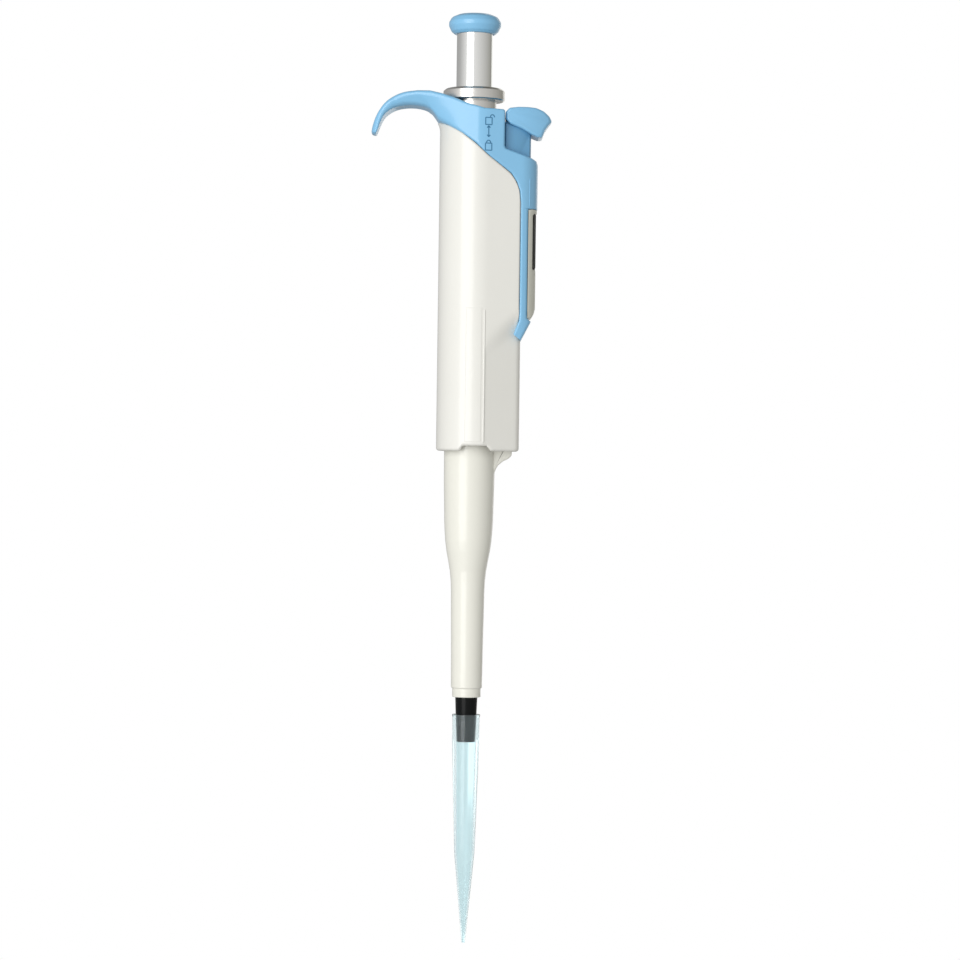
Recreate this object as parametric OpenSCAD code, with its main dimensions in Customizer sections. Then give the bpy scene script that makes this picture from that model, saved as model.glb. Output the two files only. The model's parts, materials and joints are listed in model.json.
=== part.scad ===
// Single-channel adjustable pipette, 1000 microlitre class, with a fitted tip.
// The main axis is Z. Z = 0 is the tip's orifice, +X is the display side, the finger hook is at -X.

/* [Tip] */
// Height of the fitted tip, from its orifice to its rim
tip_h = 72; // [68:0.5:72]
// Outer radius of the tip's collar
tip_r = 4.3; // [4.2:0.05:4.5]
// Radius of the tip's orifice
orifice_r = 0.4; // [0.3:0.05:0.5]

/* [Handle] */
// Lowest point of the handle shell
handle_z = 155.1; // [155:0.1:155.5]
// Back face of the handle, measured from the main axis
back_x = -10.6; // [-11:0.1:-10.5]
// Radius of the handle's round back
back_r = 12; // [11.8:0.1:12.5]
// Wall thickness of the handle and the cover
wall = 1.3; // [1.1:0.1:1.4]
// Front of the lower, slimmer grip
grip_front_x = 15.5; // [15.3:0.1:15.8]
// Front of the display section
display_front_x = 20.4; // [20.2:0.1:20.6]
// Half the width of the grip's front
grip_half_w = 6.6; // [6.4:0.1:6.8]
// Half the width of the display section's front
display_half_w = 8.5; // [8.4:0.1:8.6]
// Radius of the rounded front corners
corner_r = 3; // [2:0.5:3]

/* [Plunger] */
// Travel of the push button, from rest to the end of the blow-out
press_travel = 16.6; // [15:0.1:16.6]
// Part of that travel that belongs to the blow-out
blowout_travel = 2.8; // [2:0.1:2.8]
// Radius of the chromed plunger tube
tube_r = 5.65; // [5.5:0.05:5.65]
// Radius of the push button cap
cap_r = 8.2; // [8:0.1:8.5]
// Top of the push button cap
top_z = 292.7; // [292.2:0.1:293]
// Radius of the piston
piston_r = 4.8; // [4.6:0.05:4.8]

/* [Lock ring] */
// Radius of the lock ring
ring_r = 9.7; // [9.5:0.1:9.9]
// Height of the lock ring
ring_h = 3.8; // [3.6:0.1:4]
// Radius of the metal neck bush
neck_r = 7.07; // [7:0.01:7.07]

/* [Counter] */
// Distance from one number wheel to the next
wheel_pitch = 4.2; // [4.2:0.05:4.25]
// Radius of a number wheel
wheel_r = 5.2; // [5:0.1:5.2]
// Teeth on the drive gear
drive_teeth = 32; // [32:1:32]
// Teeth on the counter gear
counter_teeth = 20; // [20:1:20]
// Gear module
gear_module = 0.5; // [0.5:0.1:0.5]

/* [Hidden] */
$fn = 64;

ivory = "ivory";
sky = "skyblue";
metal = "silver";
dark = "dimgray";

back_cx = back_x + back_r;             // centre of the round back
gap = 0.1;                             // seam and face clearance
slide_gap = 0.08;                      // radial running clearance
press_gap = 0.01;                      // radial gap of parts pressed together
sleeve_end_z = 77.5;                   // lower end of the ejector sleeve
nozzle_end_z = 63.4;                   // lower end of the nozzle, inside the tip
nozzle_end_r = 2.95;
nozzle_rim_r = 3.3;                    // nozzle radius at the tip's rim
grip_top_z = 188;                      // where the slim grip starts to widen
display_z = 196;                       // where the display section starts
strip_x = 15;                          // back edge of the cover's front strip
window_z = [196.8, 231.2];             // window frame
frame_back_x = 17.55;
frame_front_x = 20;
frame_plan = [[frame_back_x, 8.35], [18.4, 8.25], [19.5, 7.5], [20.2, 6.4], [20.3, 5.4]];
lens_z = [212.3, 229.8];               // opening of the window
lens_back_x = 18.7;
lens_half_w = 5.1;
sight_half_w = 3.8;                    // half width of the opening behind the lens
ring_z = 265.4;                        // underside of the lock ring, unlocked
neck_top_z = 266;
tube_bottom_z = 252;
gear_z = 207;
gear_h = 3.4;
counter_x = gear_module * (drive_teeth + counter_teeth) / 2;
wheel_z = 212.4;                       // underside of the lowest number wheel
wheel_h = wheel_pitch - 0.2;
counter_z = [204.6, 231];              // frame that holds the counter's axles
frame_x = [9.3, 16.5];
frame_half_w = 6.6;
frame_inner_w = 5.6;
axle_r = 1;
pin_r = 0.5;                           // radius of the pinion axle
lug_z = [210.9, 229.6];                // lugs that hold the pinion axle
lug_h = 1.3;
pinion_r = 1.5;
pinion_angle = 140;                    // direction of the pinion axle, seen from the counter axle
pinion_gap = wheel_r + pinion_r + 0.1;
pinion_x = counter_x + pinion_gap * cos(pinion_angle);
pinion_y = pinion_gap * sin(pinion_angle);
bulkhead_z = 166;
bulkhead_h = 4;
spring_seat_z = bulkhead_z + bulkhead_h;
washer_z = 177;                        // underside of the blow-out washer
washer_h = 1.5;
hub_z = washer_z + washer_h + press_travel - blowout_travel + gap;
flange_z = 204;                        // spring flange of the piston cap
flange_h = 2;
piston_bottom_z = 141;
piston_top_z = 171;
seal_z = 150.1;
seal_seat_r = 6.1;
rod_corner_r = 2.2;                    // hexagonal rod, across its corners over two
rod_end_z = 203.2;
ball_r = 1.4;
ejector_x = 11.3;                      // axis of the ejector rod
ejector_rod_r = 1.5;
arm_z = 192;                           // cranked arm that carries the ejector rod
arm_h = 2.5;
rod_foot_z = 154.9;                    // lower end of the ejector rod, in the sleeve's arm
collar_z = 188;                        // underside of the collar that the ejector spring lifts
bar_x = [6.6, 9.6];                    // ejector bar, beside the counter
bar_y = [6.9, 8.5];
stem_x = [10.4, 18.1];
stem_half_w = 6.5;
slot_x = 9.6;                          // back wall of the ejector button's slot

// Side view of the seam between handle and cover, from the hook down to the strip's foot.
seam = [[-12, 259.3], [-7.7, 256.9], [-3.7, 254.5], [0.4, 251.4], [4.5, 247.7], [9.7, 243.8],
        [12, 242], [13.7, 239.4], [14.7, 236.5], [strip_x, 233], [strip_x, display_z], [13.2, 191.6]];
foot = [grip_front_x, 189.7];          // lowest point of the cover

// A ring, or a disc when r_in is 0, between two heights.
module ring(r_out, r_in, z0, z1) {
    translate([0, 0, z0])
    difference() {
        cylinder(r = r_out, h = z1 - z0);
        if (r_in > 0) translate([0, 0, -1]) cylinder(r = r_in, h = z1 - z0 + 2);
    }
}

// A box given by its two corners.
module block(low, high) {
    translate(low) cube(high - low);
}

// Extrudes a side view (X, Z) along Y, over a half width on each side of the middle plane.
module side_extrude(half_w) {
    rotate([90, 0, 0]) translate([0, 0, -half_w]) linear_extrude(2 * half_w) children();
}

// A list in the opposite order.
function reversed(points) = [for (i = [len(points) - 1:-1:0]) points[i]];

// Direction of the side wall's normal, from the tangent line of the round back and a front corner.
function side_normal(dx, dy, r_diff) = atan2(dy, dx) + acos(r_diff / norm([dx, dy]));

// Plan of the handle: a round back and two rounded front corners, moved inwards by inset.
module plan(front_x, front_half_w, inset) {
    corner = [front_x - corner_r, front_half_w - corner_r];
    n = side_normal(corner[0] - back_cx, corner[1], back_r - corner_r);
    normal = [cos(n), sin(n)];
    back_point = [back_cx, 0] + (back_r - inset) * normal;
    side_point = corner + (corner_r - inset) * normal;
    translate([back_cx, 0]) circle(r = back_r - inset, $fn = 96);
    for (side = [-1, 1])
        translate([corner[0], side * corner[1]]) circle(r = corner_r - inset, $fn = 32);
    polygon([[back_cx, 0], back_point, side_point, corner, [front_x - inset, corner[1]],
             [front_x - inset, -corner[1]], [corner[0], -corner[1]], [side_point[0], -side_point[1]],
             [back_point[0], -back_point[1]]]);
}

module grip_plan(inset) {
    plan(grip_front_x, grip_half_w, inset);
}

module display_plan(inset) {
    plan(display_front_x, display_half_w, inset);
}

// Everything on the cover's side of the seam, grown by clearance.
module cover_side(clearance) {
    side_extrude(20)
        polygon(concat([for (p = seam) p - [clearance, clearance]],
                       [[foot[0], foot[1] - clearance], [40, foot[1] - clearance], [40, 300], [-40, 300],
                        [-40, seam[0][1] - clearance]]));
}

// Plan of the display section behind the cover's strip.
module clipped_display_plan(inset) {
    intersection() {
        display_plan(inset);
        translate([-20, -20]) square([20 + strip_x, 40]);
    }
}

// Everything above the diagonal line where the slim grip widens into the display section.
module above_scoop(drop) {
    side_extrude(20)
        polygon([[-30, grip_top_z - drop], [4.5, grip_top_z - drop], [strip_x + 5, 199 - drop], [strip_x + 5, 300],
                 [-30, 300]]);
}

module handle_outside() {
    translate([0, 0, handle_z]) linear_extrude(display_z - handle_z) grip_plan(0);
    intersection() {
        translate([0, 0, grip_top_z - 1]) linear_extrude(261 - grip_top_z) clipped_display_plan(0);
        above_scoop(0);
    }
    side_extrude(5)
        polygon([[back_x, 247], [back_x, 256], [-10.9, 257.6], seam[0], [-8, seam[0][1]], [-8, 247]]);
}

module handle() {
    color(ivory)
    difference() {
        handle_outside();
        translate([0, 0, handle_z + 2]) linear_extrude(grip_top_z - handle_z - 2) grip_plan(wall);
        translate([0, 0, grip_top_z - 1]) linear_extrude(display_z - grip_top_z + 2) grip_plan(wall);
        translate([0, 0, display_z]) linear_extrude(70) display_plan(wall);
        cover_side(gap);
        translate([0, 0, handle_z - 1]) cylinder(r = 8.4, h = 5);
        block([6, -2.7, handle_z - 1], [13.7, 2.7, handle_z + 3]);
        block([bar_x[0] - 0.3, bar_y[0] - 0.3, 184], [bar_x[1] + 0.3, bar_y[1] + 0.3, 250]);
        side_extrude(20) polygon([[-3.5, handle_z - 1], [7, handle_z - 1], [5.6, 156.7], [-2.1, 156.7]]);
        label_recess(11.4, 20);
    }
}

// The part of the round side between two X planes that carries the label plate.
module label_recess(r_in, r_out) {
    intersection() {
        translate([back_cx, 0, 0]) ring(r_out, r_in, 157.6, 199.9);
        block([-1.2, -20, 150], [3.7, 0, 210]);
    }
}

module label_plate() {
    color(ivory) label_recess(11.4, back_r + 0.08);
}

// Side view of the cover: hook, top, button slot, front strip and its foot.
module cover_profile() {
    polygon(concat([for (p = reversed(seam)) if (p[0] > seam[0][0]) p],
                   [[-11.7, 259.6], [-12.9, 261.3], [-14.8, 262.6], [-17.6, 263.3], [-20.8, 263.4],
                    [-24, 262.9], [-26.4, 261.8], [-28.2, 260.2], [-29.4, 257.9], [-30.1, 255.6],
                    [-30.6, 254.6], [-31.4, 254.3], [-32.2, 255.1], [-31.9, 256.7], [-31.1, 259.1],
                    [-29.8, 261.6], [-27.8, 264.2], [-25, 266.2], [-21.8, 267.4], [-17.8, 267.9],
                    [-13.7, 267.8], [-9.7, 266.8], [-5.8, 265.4],
                    [-1.8, 263.7], [3.5, 262.2], [slot_x, 262], [slot_x, 250.4], [10.2, 249.8],
                    [18.5, 247.1], [display_front_x, 245.9], [display_front_x, window_z[1] + gap],
                    [17.5, window_z[1] + gap], [17.5, window_z[0] - gap], [18.7, display_z],
                    foot]));
}

module cover_plan() {
    hull() {
        translate([-25.2, 0]) circle(r = 7.5, $fn = 48);
        display_plan(0);
    }
}

module cover() {
    color(sky)
    difference() {
        intersection() {
            side_extrude(20) cover_profile();
            translate([0, 0, 180]) linear_extrude(100) cover_plan();
        }
        translate([0, 0, display_z + 1]) linear_extrude(243 - display_z)
            intersection() {
                display_plan(wall);
                translate([-20, -20]) square([36.2, 40]);
            }
        ring(8.6, 0, 243, 258.2);
        ring(neck_r + gap, 0, 258, 270);
        ring(ring_r + 0.4, 0, 263, 275);
        block([8, -6.9, 203], [18.6, 6.9, 232.5]);
        block([stem_x[0] - 0.4, -6.9, 232.4], [stem_x[1] + 0.4, 6.9, 264]);
        block([bar_x[0] - 0.3, bar_y[0] - 0.8, 230], [11.8, bar_y[1] + 0.3, 247.5]);
    }
}

module window_frame() {
    color("gainsboro")
    difference() {
        intersection() {
            translate([0, 0, window_z[0]]) linear_extrude(window_z[1] - window_z[0])
                polygon([for (side = [-1, 1]) for (p = (side < 0) ? frame_plan : reversed(frame_plan))
                         [p[0], side * p[1]]]);
            side_extrude(10)
                polygon([[frame_back_x, 196], [18.6, 196], [frame_front_x, 200.2], [frame_front_x, 230],
                         [20.3, 230], [20.3, 232], [frame_back_x, 232]]);
        }
        block([lens_back_x - gap, -lens_half_w - gap, lens_z[0]], [25, lens_half_w + gap, lens_z[1]]);
        block([17, -sight_half_w, lens_z[0] + 0.3], [25, sight_half_w, lens_z[1] - 0.3]);
        block([19.6, -20, lens_z[0]], [25, 20, lens_z[1]]);
        block([17, -sight_half_w, gear_z - 0.6], [lens_back_x, sight_half_w, lens_z[0] + 0.4]);
    }
}

module window_lens() {
    color("gray", 0.5)
        block([lens_back_x, -lens_half_w, lens_z[0] + 0.05],
              [frame_front_x - 0.05, lens_half_w, lens_z[1] - 0.05]);
}

module neck_bush() {
    color(metal)
    difference() {
        union() {
            ring(neck_r, 0, 250, neck_top_z);
            ring(8.3, 0, 256.2, 258);
        }
        ring(tube_r + slide_gap, 0, 249, neck_top_z + 1);
    }
}

module chassis() {
    color("white")
    difference() {
        union() {
            ring(8.4, 7.4, 213, 256.1);
            ring(7.8, 6.7, 218, 219.5);
        }
        block([5.5, -10, 212], [10, 10, 234]);
    }
}

module setting_nut() {
    color("goldenrod")
    difference() {
        union() {
            ring(6.6, 0, 219.6, 227);
            ring(7.3, 0, 219.6, 221);
        }
        ring(4.2 + slide_gap, 0, 219, 228);
    }
}

module counter_frame() {
    color("white")
    difference() {
        union() {
            difference() {
                block([frame_x[0], -frame_half_w, counter_z[0]], [frame_x[1], frame_half_w, counter_z[1]]);
                block([frame_x[0] - 1, -frame_inner_w, counter_z[0] + 1.8],
                      [frame_x[1] + 1, frame_inner_w, counter_z[1] - 1.5]);
            }
            for (z = lug_z) block([6.4, 2.4, z], [frame_x[0] + 0.3, frame_half_w, z + lug_h]);
        }
        translate([counter_x, 0, 200]) cylinder(r = axle_r + 0.02, h = 40);
        for (z = lug_z) translate([pinion_x, pinion_y, z - 1]) cylinder(r = pin_r + 0.02, h = lug_h + 2);
    }
}

module counter_axle() {
    color(metal) translate([counter_x, 0, 0]) ring(axle_r, 0, counter_z[0] + gap, counter_z[1] + 0.4);
}

module pinion_axle() {
    color(metal) translate([pinion_x, pinion_y, 0]) ring(pin_r, 0, lug_z[0] + gap, lug_z[1] + lug_h - gap);
}

module bulkhead() {
    color(dark)
    difference() {
        union() {
            ring(9.2, 0, bulkhead_z, spring_seat_z);
            ring(8.2, 7.65, bulkhead_z - 2.4, bulkhead_z + 1);
            block([6, -2.9, bulkhead_z], [13.9, 2.9, bulkhead_z + 2.5]);
        }
        ring(piston_r + 0.4, 0, bulkhead_z - 5, spring_seat_z + 1);
        translate([ejector_x, 0, 160]) cylinder(r = ejector_rod_r + slide_gap, h = 12);
    }
}

module coupling_nut() {
    color(metal) {
        difference() {
            ring(9.1, 8.22, 162, bulkhead_z - 0.05);
            ring(9.2, 9, 162.8, 163);
        }
        ring(8.22, 7, 162, 163.4);
    }
}

module shaft() {
    color("black")
    difference() {
        rotate_extrude($fn = 96)
            polygon([[0, nozzle_end_z], [nozzle_end_r - 0.25, nozzle_end_z],
                     [nozzle_end_r, nozzle_end_z + 0.3], [nozzle_rim_r, 71.8], [3.5, 77.2], [3.5, 80.6],
                     [3.9, 81.5], [3.95, 108], [4.2, 112], [4.5, 117], [5.4, 122], [5.9, 125],
                     [6.5, 130], [6.7, 134], [6.95, 146], [6.95, 163.5], [7.6, 163.5], [7.6, 165.95],
                     [0, 165.95]]);
        ring(1.2, 0, nozzle_end_z - 1, 125);
        rotate_extrude() polygon([[0, 120], [1.2, 120], [4.95, 124], [4.95, 150], [0, 150]]);
        ring(seal_seat_r, 0, 150, 167);
    }
}

module piston_seal() {
    color("white") ring(seal_seat_r - 0.05, piston_r + 0.06, seal_z, 153.5);
}

module seal_o_ring() {
    color("black") rotate_extrude($fn = 96) translate([5.37, 154.1]) circle(r = 0.48, $fn = 32);
}

module seal_retainer() {
    color("white") ring(seal_seat_r - 0.05, piston_r + 0.2, 154.7, 165.9);
}

// Points of a wire coil: ring number i of the sweep, point number j round the wire.
function coil_point(mean_r, wire_r, z0, rise, turns, i, steps, j, sides) =
    let (a = 360 * turns * i / steps, b = 360 * j / sides, r = mean_r + wire_r * cos(b))
    [r * cos(a), r * sin(a), z0 + rise * i / steps + wire_r * sin(b)];

// A helical compression spring between two heights.
module coil(mean_r, wire_r, z0, z1, turns) {
    sides = 8;
    steps = turns * 16;
    points = [for (i = [0:steps]) for (j = [0:sides - 1])
              coil_point(mean_r, wire_r, z0 + wire_r, z1 - z0 - 2 * wire_r, turns, i, steps, j, sides)];
    skin = [for (i = [0:steps - 1]) for (j = [0:sides - 1])
            [i * sides + j, (i + 1) * sides + j, (i + 1) * sides + (j + 1) % sides,
             i * sides + (j + 1) % sides]];
    first = [for (j = [0:sides - 1]) j];
    last = [for (j = [sides - 1:-1:0]) steps * sides + j];
    polyhedron(points, concat(skin, [first, last]), convexity = 4);
}

module return_spring() {
    color(metal) coil(7.9, 0.45, spring_seat_z + 0.1, flange_z - 0.1, 9);
}

module blowout_spring() {
    color(metal) coil(5.6, 0.5, spring_seat_z + 0.1, washer_z - 0.1, 3);
}

module ejector_spring() {
    color(metal) translate([ejector_x, 0, 0]) coil(2, 0.25, bulkhead_z + 2.6, collar_z - gap, 11);
}

module piston() {
    color("gainsboro")
    difference() {
        ring(piston_r, 0, piston_bottom_z, piston_top_z);
        ring(2.5, 0, piston_top_z - 8, piston_top_z + 1);
    }
}

module piston_rod() {
    color(metal) ring(2.48, 0, piston_top_z - 7.9, hub_z + 3);
}

module piston_cap() {
    color("white")
    difference() {
        union() {
            ring(4.6, 0, hub_z, flange_z);
            ring(8.5, 0, flange_z, flange_z + flange_h);
        }
        ring(2.5, 0, hub_z - 1, hub_z + 3.1);
        ring(rod_corner_r + 0.15, 0, rod_end_z - 2 * ball_r - 0.2, flange_z + flange_h + 1);
    }
}

module thrust_ball() {
    color(metal) translate([0, 0, rod_end_z - 0.1 - ball_r]) sphere(r = ball_r);
}

module button_cap() {
    color(sky)
    difference() {
        rotate_extrude($fn = 96)
            polygon([[0, 286.5], [6.1, 286.5], [7.1, 287.2], [8, 288.7], [cap_r, 289.6], [8, 290.6],
                     [7.2, 291.7], [6, 292.4], [5, top_z], [0, top_z]]);
        ring(tube_r + 0.02, 0, 286, 289.5);
        ring(4.3, 0, 286, 290.6);
    }
}

module plunger_tube() {
    color(metal) ring(tube_r, 4.35, tube_bottom_z, 289.4);
}

module plunger_rod() {
    color(metal) translate([0, 0, rod_end_z]) cylinder(r = rod_corner_r, h = 289.2 - rod_end_z, $fn = 6);
}

module rod_collar() {
    color("goldenrod")
    difference() {
        ring(4.28, 0, 284, 290.5);
        translate([0, 0, 283]) cylinder(r = rod_corner_r + 0.05, h = 6.3, $fn = 6);
    }
}

// Outline of a spur gear with straight-sided teeth, its first tooth on +X.
module gear_outline(teeth) {
    pitch_r = gear_module * teeth / 2;
    step = 360 / teeth;
    root_r = pitch_r - 1.2 * gear_module;
    tip_r = pitch_r + 0.9 * gear_module;
    polygon([for (k = [0:teeth - 1]) for (c = [[root_r, -0.3], [tip_r, -0.12], [tip_r, 0.12], [root_r, 0.3]])
             [c[0] * cos((k + c[1]) * step), c[0] * sin((k + c[1]) * step)]]);
}

module drive_gear() {
    color("white")
    difference() {
        union() {
            translate([0, 0, gear_z]) linear_extrude(gear_h) gear_outline(drive_teeth);
            ring(3.4, 0, flange_z + flange_h + 0.2, gear_z);
        }
        translate([0, 0, gear_z - 2]) cylinder(r = rod_corner_r + 0.1, h = gear_h + 4, $fn = 6);
    }
}

module setting_screw() {
    color(metal)
    difference() {
        ring(4.2, 0, gear_z + gear_h, 233);
        translate([0, 0, gear_z]) cylinder(r = rod_corner_r + 0.1, h = 30, $fn = 6);
    }
}

module counter_gear() {
    color("white")
    translate([counter_x, 0, 0])
    difference() {
        union() {
            rotate([0, 0, 180 / counter_teeth])
                translate([0, 0, gear_z]) linear_extrude(gear_h) gear_outline(counter_teeth);
            ring(2.2, 0, gear_z, wheel_z);
        }
        ring(axle_r + slide_gap, 0, 200, 220);
    }
}

// Number wheel, counted from the lowest one, with its bearing bore.
module number_wheel(index) {
    low = wheel_z + index * wheel_pitch;
    color("whitesmoke")
    translate([counter_x, 0, 0])
    difference() {
        ring(wheel_r, axle_r + slide_gap, low, low + wheel_h);
        ring(4.2, 2.2, low + 1.2, low + wheel_h + 1);
    }
}

module number_wheel_1() { number_wheel(0); }
module number_wheel_2() { number_wheel(1); }
module number_wheel_3() { number_wheel(2); }
module number_wheel_4() { number_wheel(3); }

// Carry pinion between two number wheels.
module carry_pinion(index) {
    low = wheel_z + (index + 1) * wheel_pitch - 1.6;
    color(dark)
    translate([pinion_x, pinion_y, low])
    difference() {
        linear_extrude(3)
            polygon([for (k = [0:15]) let (r = k % 2 == 0 ? pinion_r : 0.65 * pinion_r)
                     [r * cos(22.5 * k), r * sin(22.5 * k)]]);
        translate([0, 0, -1]) cylinder(r = pin_r + slide_gap, h = 5);
    }
}

module carry_pinion_1() { carry_pinion(0); }
module carry_pinion_2() { carry_pinion(1); }
module carry_pinion_3() { carry_pinion(2); }

module blowout_washer() {
    color(metal) ring(6.9, 3.4, washer_z, washer_z + washer_h);
}

module lock_ring() {
    color(metal)
    difference() {
        rotate_extrude($fn = 96)
            polygon([[0, ring_z], [8.6, ring_z], [ring_r, ring_z + 0.9], [ring_r, ring_z + ring_h - 0.7],
                     [8.8, ring_z + ring_h], [0, ring_z + ring_h]]);
        ring(tube_r + slide_gap, 0, ring_z - 1, ring_z + ring_h + 1);
        ring(neck_r + slide_gap, 0, ring_z - 1, neck_top_z + 2.2);
    }
}

module ejector_button() {
    color(sky)
    intersection() {
        side_extrude(9)
            polygon([[9.9, 261.4], [11, 262.6], [13, 263], [17, 263.1], [19.6, 262.9], [22, 262], [23.8, 260.6],
                     [24.6, 259], [24.3, 257.6], [22.8, 256.1], [21.9, 254.6], [21.4, 253.7],
                     [18.5, 253.7], [stem_x[1], 254.9], [15.3, 256.4], [11.5, 257.7], [10.2, 259]]);
        translate([0, 0, 250]) linear_extrude(15)
            hull() {
                for (side = [-1, 1]) {
                    translate([11.4, side * 7]) circle(r = 1.5, $fn = 32);
                    translate([20.1, side * 4]) circle(r = 4.5, $fn = 48);
                }
            }
    }
}

module ejector_stem() {
    color(sky)
    side_extrude(stem_half_w)
        polygon([[stem_x[0], 238.6], [stem_x[1], 238.6], [stem_x[1], 254.9], [15.3, 256.4], [11.5, 257.7],
                 [stem_x[0], 258.75]]);
}

module ejector_bar() {
    color("white") {
        block([bar_x[0], bar_y[0], arm_z], [bar_x[1], bar_y[1], 241]);
        block([bar_x[0], stem_half_w, 241], [11.5, bar_y[1], 246]);
        difference() {
            hull() {
                translate([ejector_x, 0, arm_z]) cylinder(r = 1.9, h = arm_h, $fn = 32);
                translate([8.1, 6.6, arm_z]) cylinder(r = 0.9, h = arm_h, $fn = 32);
            }
            translate([ejector_x, 0, arm_z - 1]) cylinder(r = ejector_rod_r + press_gap, h = arm_h + 2);
        }
    }
}

module ejector_rod() {
    color(metal) translate([ejector_x, 0, 0]) ring(ejector_rod_r, 0, rod_foot_z, arm_z + arm_h + 0.5);
}

module ejector_collar() {
    color(dark) translate([ejector_x, 0, 0]) ring(2.5, ejector_rod_r + press_gap, collar_z, collar_z + 2);
}

module ejector_sleeve() {
    color(ivory)
    difference() {
        union() {
            rotate_extrude($fn = 96)
                polygon([[0, sleeve_end_z], [4.2, sleeve_end_z], [4.5, sleeve_end_z + 0.3], [4.5, 80.2],
                         [4.9, 80.5], [5, 92], [5.2, 104.6], [5.25, 111], [5.4, 114], [5.7, 117.2],
                         [6.25, 120.4], [6.9, 123.6], [7.3, 126.7], [7.6, 130], [7.7, 133], [8, 145.7],
                         [8.05, 161.5], [0, 161.5]]);
            side_extrude(2.3)
                polygon([[7.5, 148], [8.1, 149.5], [9, 150.8], [10.6, 152.1], [12.4, 153], [13.2, 154],
                         [13.35, 155.1], [13.35, 160], [7.5, 160]]);
        }
        rotate_extrude($fn = 96)
            polygon([[0, 162], [7.35, 162], [7.35, 146], [7.1, 133], [6.95, 130], [6.65, 126.7],
                     [6.25, 123.6], [5.6, 120.4], [5.05, 117.2], [4.75, 114], [4.6, 111], [4.45, 104],
                     [4.3, 82], [3.7, 80.2], [3.7, 77], [0, 77]]);
        translate([ejector_x, 0, rod_foot_z - gap]) cylinder(r = ejector_rod_r + press_gap, h = 9);
    }
}

module tip() {
    color("paleturquoise", 0.6)
    difference() {
        rotate_extrude($fn = 96)
            polygon([[0, 0], [orifice_r + 0.15, 0], [3.2, 28.5], [tip_r, 63.6], [tip_r, tip_h - 0.8],
                     [tip_r + 0.12, tip_h - 0.6], [tip_r + 0.12, tip_h], [0, tip_h]]);
        rotate_extrude($fn = 96)
            polygon([[0, 2.9], [orifice_r, 2.9], [2.55, 28.5], [2.95, 62], [nozzle_end_r + 0.04, nozzle_end_z],
                     [nozzle_rim_r + 0.04, 71.8], [nozzle_rim_r + 0.2, tip_h + 0.1], [0, tip_h + 0.1]]);
        ring(orifice_r, 0, -1, 3);
    }
}

handle();
cover();
label_plate();
neck_bush();
window_frame();
window_lens();
chassis();
setting_nut();
counter_frame();
counter_axle();
pinion_axle();
bulkhead();
coupling_nut();
shaft();
piston_seal();
seal_o_ring();
seal_retainer();
return_spring();
blowout_spring();
ejector_spring();
piston();
piston_rod();
piston_cap();
thrust_ball();
button_cap();
plunger_tube();
plunger_rod();
rod_collar();
drive_gear();
setting_screw();
counter_gear();
number_wheel_1();
number_wheel_2();
number_wheel_3();
number_wheel_4();
carry_pinion_1();
carry_pinion_2();
carry_pinion_3();
blowout_washer();
lock_ring();
ejector_button();
ejector_stem();
ejector_bar();
ejector_rod();
ejector_collar();
ejector_sleeve();
tip();
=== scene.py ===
"""Adjustable laboratory pipette with a fitted tip: surfaces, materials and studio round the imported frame."""
import json
import math

import bmesh
import bpy
import numpy as np
from mathutils import Matrix, Vector


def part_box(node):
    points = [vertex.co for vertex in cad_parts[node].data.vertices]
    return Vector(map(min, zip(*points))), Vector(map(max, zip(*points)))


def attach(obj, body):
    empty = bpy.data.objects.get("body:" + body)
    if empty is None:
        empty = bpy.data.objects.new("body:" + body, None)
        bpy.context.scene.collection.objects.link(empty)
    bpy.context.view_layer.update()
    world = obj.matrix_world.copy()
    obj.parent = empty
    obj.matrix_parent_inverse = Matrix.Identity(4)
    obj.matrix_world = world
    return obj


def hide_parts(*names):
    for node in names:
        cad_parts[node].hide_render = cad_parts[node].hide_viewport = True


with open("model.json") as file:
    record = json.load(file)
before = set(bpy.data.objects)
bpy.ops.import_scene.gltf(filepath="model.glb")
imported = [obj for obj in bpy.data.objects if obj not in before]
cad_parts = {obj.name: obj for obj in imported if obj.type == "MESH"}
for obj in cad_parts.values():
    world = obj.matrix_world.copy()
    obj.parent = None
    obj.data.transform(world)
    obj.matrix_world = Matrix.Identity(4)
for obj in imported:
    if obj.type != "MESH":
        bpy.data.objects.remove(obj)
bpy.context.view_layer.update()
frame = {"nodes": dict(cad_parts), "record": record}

MM = 0.001
NODES = frame["nodes"]


# ---------------------------------------------------------------- mesh helpers

def grid_faces(rows, cols, wrap_rows=False, wrap_cols=False, keep=None):
    """Quads of a rows by cols grid of points, joined end to start where a direction wraps."""
    i = np.arange(rows if wrap_rows else rows - 1)
    j = np.arange(cols if wrap_cols else cols - 1)
    i, j = np.meshgrid(i, j, indexing="ij")
    if keep is not None:
        chosen = keep(i, j)
        i, j = i[chosen], j[chosen]
    up, right = (i + 1) % rows, (j + 1) % cols
    quads = np.stack([i * cols + j, i * cols + right, up * cols + right, up * cols + j], axis=-1)
    return quads.reshape(-1, 4)


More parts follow.
